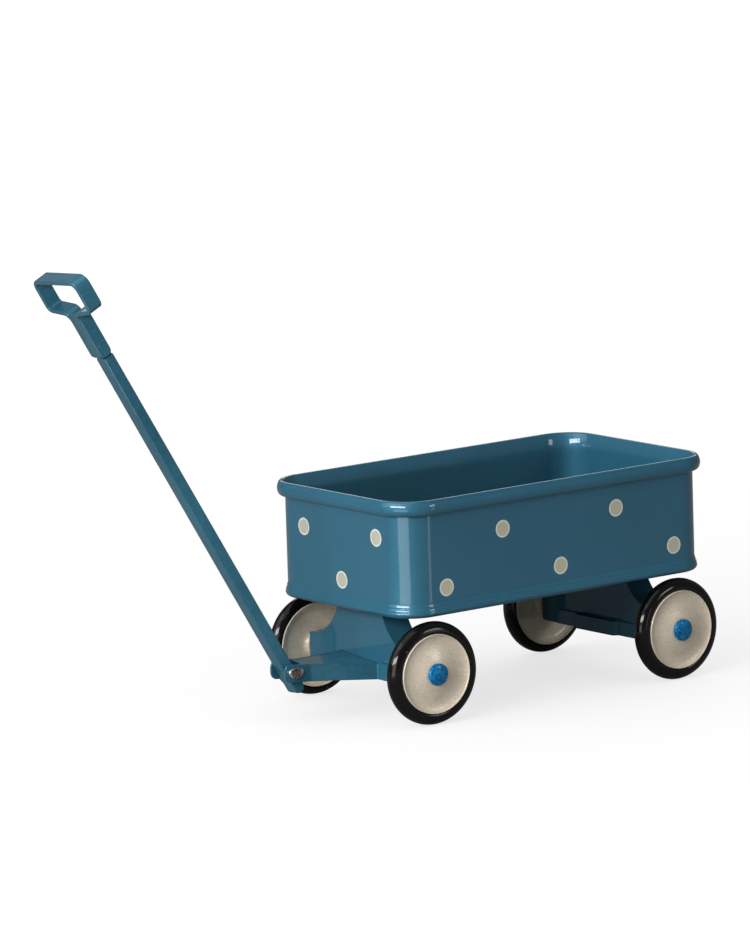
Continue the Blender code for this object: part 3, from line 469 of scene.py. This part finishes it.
# Wheel discs
# Each wheel is a disc pressed from sheet and enamelled in pearly cream: a flat boss under the hub cap,
# a dished face and a rolled lip that holds the tyre. It turns on the axle of its body.
joints = {joint["name"]: joint for joint in frame["joints"]}
wheels = {}
for name, side in (("front_left_wheel", 1), ("front_right_wheel", -1),
                   ("rear_left_wheel", 1), ("rear_right_wheel", -1)):
    spin = joints[name + "_spin"]
    wheels[name] = (Vector(spin["pos_m"]), side * Vector(spin["axis"]), spin["parent"])
wheel_steps = 96


def smooth_line(points, steps):
    """A smooth line through (radius, height) points."""
    line = []
    ends = [points[0]] + points + [points[-1]]
    for corners in zip(ends, ends[1:], ends[2:], ends[3:]):
        for k in range(steps):
            line.append(tuple(catmull(*values, k / steps) for values in zip(*corners)))
    return line + [points[-1]]


def turned(profile, steps, place, outward, closed=True):
    """A bmesh of a profile of (radius, height) in millimetres, turned about an axis through a place."""
    outward = outward.normalized()
    side = outward.cross(Vector((0, 0, 1))).normalized()
    up = side.cross(outward)
    rays = [side * math.cos(math.tau * k / steps) + up * math.sin(math.tau * k / steps) for k in range(steps)]
    bm = bmesh.new()
    rings = []
    for radius, height in profile:
        level = place + outward * height * MM
        if radius == 0.0:
            rings.append([bm.verts.new(level)] * steps)
        else:
            rings.append([bm.verts.new(level + radius * MM * way) for way in rays])
    pairs = list(zip(rings, rings[1:]))
    if closed:
        pairs.append((rings[-1], rings[0]))
    for low, high in pairs:
        for i in range(steps):
            j = (i + 1) % steps
            corners = list(dict.fromkeys((low[i], low[j], high[j], high[i])))
            if len(corners) > 2:
                bm.faces.new(corners)
    return bm


# Radius and height from the wheel's middle plane, in millimetres: the boss and the dished face, the lip
# and the seat under the tyre, the back flange, and the dished back down to the bore.
axle_hole, boss_front, boss_back = 1.28, 3.05, -2.7
front_face = smooth_line([(3.4, boss_front), (4.0, 2.98), (4.8, 2.80), (6.4, 2.40), (8.2, 2.03), (9.7, 1.97),
                          (10.7, 2.16), (11.36, 2.46)], 5)
lip = [(11.5, 2.62), (11.6, 2.76), (11.73, 2.81), (11.85, 2.72), (11.88, 2.6), (11.88, 2.2)]
seat = [(11.4, 2.0), (11.3, 1.9), (11.3, -2.0)]
back_flange = [(12.8, -2.3), (12.8, -2.5), (12.74, -2.65), (12.6, -2.7), (12.45, -2.6)]
back_face = smooth_line([(12.2, -2.35), (11.6, -1.8), (10.0, -1.35), (8.0, -1.2), (5.8, -1.2),
                         (4.6, -1.35)], 4)
back_boss = [(3.9, -1.7), (3.55, -2.3), (3.4, boss_back), (axle_hole, boss_back)]
disc_line = [(axle_hole, boss_front)] + front_face + lip + seat + back_flange + back_face + back_boss
pearl = enamel("pearl_cream", (0.680, 0.590, 0.458), (0.830, 0.740, 0.598), 0.1, 0.36, wobble=0.5, peel=1.6,
               specks=0.6, grain=2.6, coat=0.6, coat_roughness=0.16)
for name, (place, outward, axle_body) in wheels.items():
    disc = finish_mesh(turned(disc_line, wheel_steps, place, outward), name + "_pressed_disc", [pearl], 40.0)
    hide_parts(name + "_disc")
    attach(disc, name)

# Tyres
# Solid tyres of glossy black plastic, moulded with a round tread and snapped over the disc's seat, up to
# its lip and its back flange.
tread_middle, tread_rise, tyre_half_width = 12.65, 2.75, 2.6
tyre_line = arc((tread_middle, 0.0), (tread_rise, tyre_half_width), 90, -76, 30)
tyre_line += [(12.9, -2.1), (11.4, -1.8), (11.4, 1.8), (11.84, 2.25), (12.0, 2.42), (12.28, 2.54)]
rubber, tree, surface = new_material("tyre_black")
height = lay_film(tree, surface, (0.0020, 0.0017, 0.0017), (0.0040, 0.0034, 0.0032), (0.20, 0.19, 0.18),
                  0.09, 0.15, {"Wobble": 0.5, "Peel": 0.8})
surface.inputs["Specular IOR Level"].default_value = 0.38
tree.links.new(bumped(tree, height, 0.3, 0.0003), surface.inputs["Normal"])
for name, (place, outward, axle_body) in wheels.items():
    tyre = finish_mesh(turned(tyre_line, wheel_steps, place, outward), name + "_moulded_tyre", [rubber], 40.0)
    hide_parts(name + "_tyre")
    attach(tyre, name)

# Hub caps
# Domed caps, pressed from thin sheet and enamelled in a brighter blue. They are pushed over the axles'
# ends and hold the wheels on.
cap_radius, cap_base, cap_shoulder, cap_dome, hole_radius, hole_end = 3.3, 3.15, 3.75, 0.85, 1.25, 4.1
cap_line = [(0.0, cap_shoulder + cap_dome)]
cap_line += arc((0.0, cap_shoulder), (cap_radius, cap_dome), 82.5, 0, 11)
cap_line += [(cap_radius, cap_base), (hole_radius, cap_base), (hole_radius, hole_end), (0.0, hole_end)]
cap_blue = enamel("cap_blue_enamel", (0.001, 0.062, 0.190), (0.003, 0.250, 0.560), 0.2, 0.42, wobble=0.5,
                  peel=3.0, specks=1.4, grain=3.5, coat=0.45, coat_roughness=0.12)
for name, (place, outward, axle_body) in wheels.items():
    cap = finish_mesh(turned(cap_line, 48, place, outward, False), name + "_cap", [cap_blue], 40.0)
    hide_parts(name + "_hub_cap")
    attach(cap, axle_body)

# Axle brackets and cross strap
# Each bracket is folded from thicker sheet into a channel whose curved sides are closed by a strip, bent
# along the curve. Both are enamelled blue; the rear one and its strap, in the shade under the tray, get a
# darker, duller blue as painted shade.
crisp_angle = math.radians(38.0)
smooth_by_angle = bpy.data.node_groups.new("smooth_by_angle", "GeometryNodeTree")
smooth_by_angle.interface.new_socket("Geometry", in_out="INPUT", socket_type="NodeSocketGeometry")
smooth_by_angle.interface.new_socket("Geometry", in_out="OUTPUT", socket_type="NodeSocketGeometry")
start = smooth_by_angle.nodes.new("NodeGroupInput")
end = smooth_by_angle.nodes.new("NodeGroupOutput")
edge_angle = smooth_by_angle.nodes.new("GeometryNodeInputMeshEdgeAngle")
soft = smooth_by_angle.nodes.new("FunctionNodeCompare")
soft.operation = "LESS_THAN"
soft.inputs["B"].default_value = crisp_angle
smooth_by_angle.links.new(edge_angle.outputs["Unsigned Angle"], soft.inputs["A"])
faces = smooth_by_angle.nodes.new("GeometryNodeSetShadeSmooth")
edges = smooth_by_angle.nodes.new("GeometryNodeSetShadeSmooth")
edges.domain = "EDGE"
smooth_by_angle.links.new(start.outputs[0], faces.inputs["Geometry"])
smooth_by_angle.links.new(faces.outputs["Geometry"], edges.inputs["Geometry"])
smooth_by_angle.links.new(soft.outputs["Result"], edges.inputs["Shade Smooth"])
smooth_by_angle.links.new(edges.outputs["Geometry"], end.inputs[0])


def dress(name, material, rounding=0.0):
    """Joins a CAD piece's faces, rounds its edges a little, smooths it and gives it its material."""
    piece = nodes[name]
    weld = piece.modifiers.new("joined", "WELD")
    weld.merge_threshold = 0.005 * MM
    flat = piece.modifiers.new("flat_faces", "DECIMATE")
    flat.decimate_type = "DISSOLVE"
    flat.angle_limit = math.radians(0.6)
    if rounding:
        bevel = piece.modifiers.new("rounded_edges", "BEVEL")
        bevel.limit_method = "ANGLE"
        bevel.angle_limit = crisp_angle
        bevel.width = rounding
        bevel.segments = 2
        bevel.use_clamp_overlap = False
    smooth = piece.modifiers.new("smoothed", "NODES")
    smooth.node_group = smooth_by_angle
    weighted = piece.modifiers.new("flat_shading", "WEIGHTED_NORMAL")
    weighted.keep_sharp = True
    weighted.weight = 100
    piece.data.materials.clear()
    piece.data.materials.append(material)


# A darker, duller copy of the blue, as painted shade on the rear bracket, its strap and its side strips.
shaded_under_blue = enamel("under_enamel_painted_shade", (0.014, 0.070, 0.110), (0.018, 0.085, 0.130), 0.30, 0.55, coat=0.5)
dress("front_bracket", blue, 0.07 * MM)
dress("rear_bracket", shaded_under_blue, 0.07 * MM)
dress("rear_cross_strap", shaded_under_blue, 0.10 * MM)

# The side strips, in millimetres from the kingpin or from the rear axle. They stand a hair proud of the
# curve and end a hair inside the bracket's front and back.
bracket_half, bracket_sheet, shoulder, curve_radius = 27.6, 0.7, 20.0, 16.2
curve_middle = Vector((bracket_half - bracket_sheet, 0.0, shoulder + curve_radius))
proud, curve_steps = 0.03, 24
strip_front, strip_back = -3.78, 4.98
front_axle_line = Vector(joints["front_left_wheel_spin"]["axis"])
kingpin_place = Vector((0.0, joints["steering"]["pos_m"][1], tray_place.z))
rear_place = Vector((0.0, joints["rear_left_wheel_spin"]["pos_m"][1], tray_place.z))
for name, middle, across, top, paint, body in (
        ("front_bracket_sides", kingpin_place, front_axle_line, 30.6, blue, "front_truck"),
        ("rear_bracket_sides", rear_place, Vector((1, 0, 0)), 31.5, shaded_under_blue, "wagon")):
    backwards = Vector((0, 0, 1)).cross(across)
    top_angle = math.degrees(math.asin((curve_middle.z - top) / curve_radius))
    angles = [top_angle + (90.0 - top_angle) * k / curve_steps for k in range(curve_steps + 1)] + [92.0]
    curve = [(curve_radius - proud, angle) for angle in reversed(angles)]
    curve += [(curve_radius + bracket_sheet, angle) for angle in angles]
    bm = bmesh.new()
    for side in (1, -1):
        rims = []
        for y in (strip_front, strip_back):
            rim = []
            for radius, angle in curve:
                x = side * (curve_middle.x - radius * math.cos(math.radians(angle)))
                z = curve_middle.z - radius * math.sin(math.radians(angle))
                rim.append(bm.verts.new(middle + MM * (across * x + Vector((0, 0, z)) + backwards * y)))
            rims.append(rim)
            bm.faces.new(rim)
        for i in range(len(curve)):
            j = (i + 1) % len(curve)
            bm.faces.new((rims[0][i], rims[0][j], rims[1][j], rims[1][i]))
    sides = finish_mesh(bm, name, [paint], 40.0)
    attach(sides, body)

# Drawbar
# Two blanked plates with a web between them and flanges on the front bracket, dipped in the same blue
# enamel, which lies thick and uneven on them.
blue_dipped = enamel("dipped_enamel", (0.020, 0.118, 0.184), (0.040, 0.196, 0.290), 0.38, 0.48, wobble=3.0,
                     peel=5.0, specks=1.6, coat_roughness=0.08)
dress("drawbar", blue_dipped, 0.18 * MM)

# Handle
# A flat bar and a grip bent from one strip, dipped in the same blue enamel. The grip's two leaves are
# brazed to the bar between them; the seam is filled nearly level in front and painted over.
dress("handle_bar", blue_dipped, 0.22 * MM)
dress("handle_grip", blue_dipped, 0.15 * MM)

handle_pivot = Vector(joints["handle_pivot"]["pos_m"])
steered, laid_back, leaning = (math.radians(turn) for turn in (-3.9, 27.85, -5.6))
handle_turn = Matrix.Rotation(steered, 3, "Z") @ Matrix.Rotation(laid_back, 3, "X")
handle_turn = handle_turn @ Matrix.Rotation(leaning, 3, "Y")
# The seam's rows: place along the bar and rise over it. Its columns: place across the bar and share of
# that rise. All in millimetres.
seam_rows = [(112.9, 0.0), (113.05, 0.35), (113.4, 0.52), (114.0, 0.58), (120.0, 0.6), (126.5, 0.58),
             (127.6, 0.5), (128.2, 0.3), (128.5, 0.0)]
seam_columns = [(-2.16, 1.0), (-2.06, 0.98), (-1.8, 0.94), (-1.2, 0.90), (-0.5, 0.88), (0.2, 0.90),
                (0.8, 0.94), (1.06, 0.98), (1.16, 1.0)]
bar_front, seam_rear = -2.08, -1.9


def seam_point(bm, across, depth, along):
    """A point beside the bar, in millimetres from the handle's pivot."""
    return bm.verts.new(handle_pivot + MM * (handle_turn @ Vector((across, depth, along))))


bm = bmesh.new()
front = [[seam_point(bm, across, bar_front - rise * share, along) for across, share in seam_columns]
         for along, rise in seam_rows]
rear = [[seam_point(bm, across, seam_rear, along) for across, share in seam_columns]
        for along, rise in seam_rows]
outlines = []
for rows in (front, rear):
    for low, high in zip(rows, rows[1:]):
        for i in range(len(low) - 1):
            bm.faces.new((low[i], low[i + 1], high[i + 1], high[i]))
    right_edge = [row[-1] for row in rows[1:]]
    left_edge = [row[0] for row in rows[-2:0:-1]]
    outlines.append(rows[0] + right_edge + rows[-1][-2::-1] + left_edge)
for i in range(len(outlines[0])):
    j = (i + 1) % len(outlines[0])
    bm.faces.new((outlines[0][i], outlines[0][j], outlines[1][j], outlines[1][i]))
seam = finish_mesh(bm, "grip_seam", [blue_dipped], 40.0)
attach(seam, "handle")

# Steel pins, axles, washer and spacers
# The kingpin and its washer, the rear rivets, the axles and the wheels' spacers are plain turned or headed
# steel, bare, dull and slightly stained.
metal, tree, surface = new_material("worn_steel")
surface.inputs["Metallic"].default_value = 1.0
where = tree.nodes.new("ShaderNodeTexCoord").outputs["Object"]
stained = spread(tree, noise(tree, where, 900.0, 4.0, 0.65), 0.42, 0.68, 0.0, 1.0)
steel_colour = mix_colours(tree, stained, (0.62, 0.60, 0.57), (0.33, 0.26, 0.20))
tree.links.new(steel_colour, surface.inputs["Base Color"])
roughness = spread(tree, noise(tree, where, 500.0, 3.0), 0.3, 0.7, 0.26, 0.5)
tree.links.new(roughness, surface.inputs["Roughness"])
tree.links.new(bumped(tree, noise(tree, where, 1400.0, 3.0), 0.3, 0.0002), surface.inputs["Normal"])
pins = ["kingpin", "kingpin_washer", "rear_rivet_left", "rear_rivet_right", "front_axle", "rear_axle"]
for name in pins + [wheel + "_spacer" for wheel in wheels]:
    dress(name, metal)

# Handle rivet
# A soft steel rivet through the drawbar's plates and the bar. Its near head was hammered into a flat
# oval with a bright rim, and its middle has gone brown; the far end is a low peened dome.
plate_face, head_radius = 4.15, 2.3
head_middle = handle_pivot + front_axle_line * 4.9 * MM
brown_to, bright_from, raggedness = 2.1 * MM, 2.6 * MM, 1.2 * MM
rivet_steel, tree, surface = new_material("browned_steel")
surface.inputs["Metallic"].default_value = 1.0
where = tree.nodes.new("ShaderNodeTexCoord").outputs["Object"]
ragged = combine(tree, "MULTIPLY", noise(tree, where, 1500.0, 3.0), raggedness)
ragged = combine(tree, "ADD", distance_from(tree, where, head_middle), ragged)
middle = spread(tree, ragged, brown_to, bright_from, 1.0, 0.0)
grime = spread(tree, noise(tree, where, 2200.0, 3.0, 0.7), 0.36, 0.52, 0.40, 1.0)
browned = combine(tree, "MULTIPLY", middle, grime)
rivet_colour = mix_colours(tree, browned, (0.86, 0.85, 0.83), (0.150, 0.078, 0.060))
tree.links.new(rivet_colour, surface.inputs["Base Color"])
tree.links.new(spread(tree, middle, 0.0, 1.0, 0.2, 0.5), surface.inputs["Roughness"])
dents = combine(tree, "MULTIPLY", noise(tree, where, 1900.0), spread(tree, middle, 0.0, 1.0, 0.15, 1.0))
tree.links.new(bumped(tree, dents, 0.8, 0.0003), surface.inputs["Normal"])

# Radius and height over the plate's face, in millimetres, from the shank over each head to its middle.
near_head = [(1.3, -0.3), (1.3, 0.0), (2.22, 0.02), (head_radius, 0.2), (2.27, 0.42), (2.14, 0.62),
             (1.95, 0.72), (1.72, 0.70), (1.52, 0.6), (1.2, 0.56), (0.6, 0.6), (0.0, 0.62)]
far_head = [(1.3, 0.0), (2.05, 0.0), (2.05, 0.05), (1.9, 0.28), (1.5, 0.5), (0.9, 0.66), (0.0, 0.72)]
rivet_line = [(radius, -plate_face - height) for radius, height in reversed(far_head)]
rivet_line += [(radius, plate_face + height) for radius, height in near_head]
bm = turned(rivet_line, 48, handle_pivot, front_axle_line, False)

# The hammer left the near head's middle as it was and beat its rim into an oval, wider at the top.
rim_from, wider, taper, flatter_above, flatter_below = 0.57, 1.14, 0.16, 0.70, 0.78
for vert in bm.verts:
    offset = vert.co - handle_pivot
    height = offset.dot(front_axle_line)
    flat = offset - front_axle_line * height
    if height > (plate_face - 0.01) * MM and flat.length > rim_from * head_radius * MM:
        upright = Vector((0, 0, flat.z))
        sideways = (flat - upright) * wider * (1.0 + taper * flat.z / (head_radius * MM))
        upright *= flatter_below if flat.z < 0 else flatter_above
        vert.co = handle_pivot + front_axle_line * height + sideways + upright
rivet = finish_mesh(bm, "hammered_rivet", [rivet_steel], 50.0)
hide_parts("handle_rivet")
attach(rivet, "front_truck")
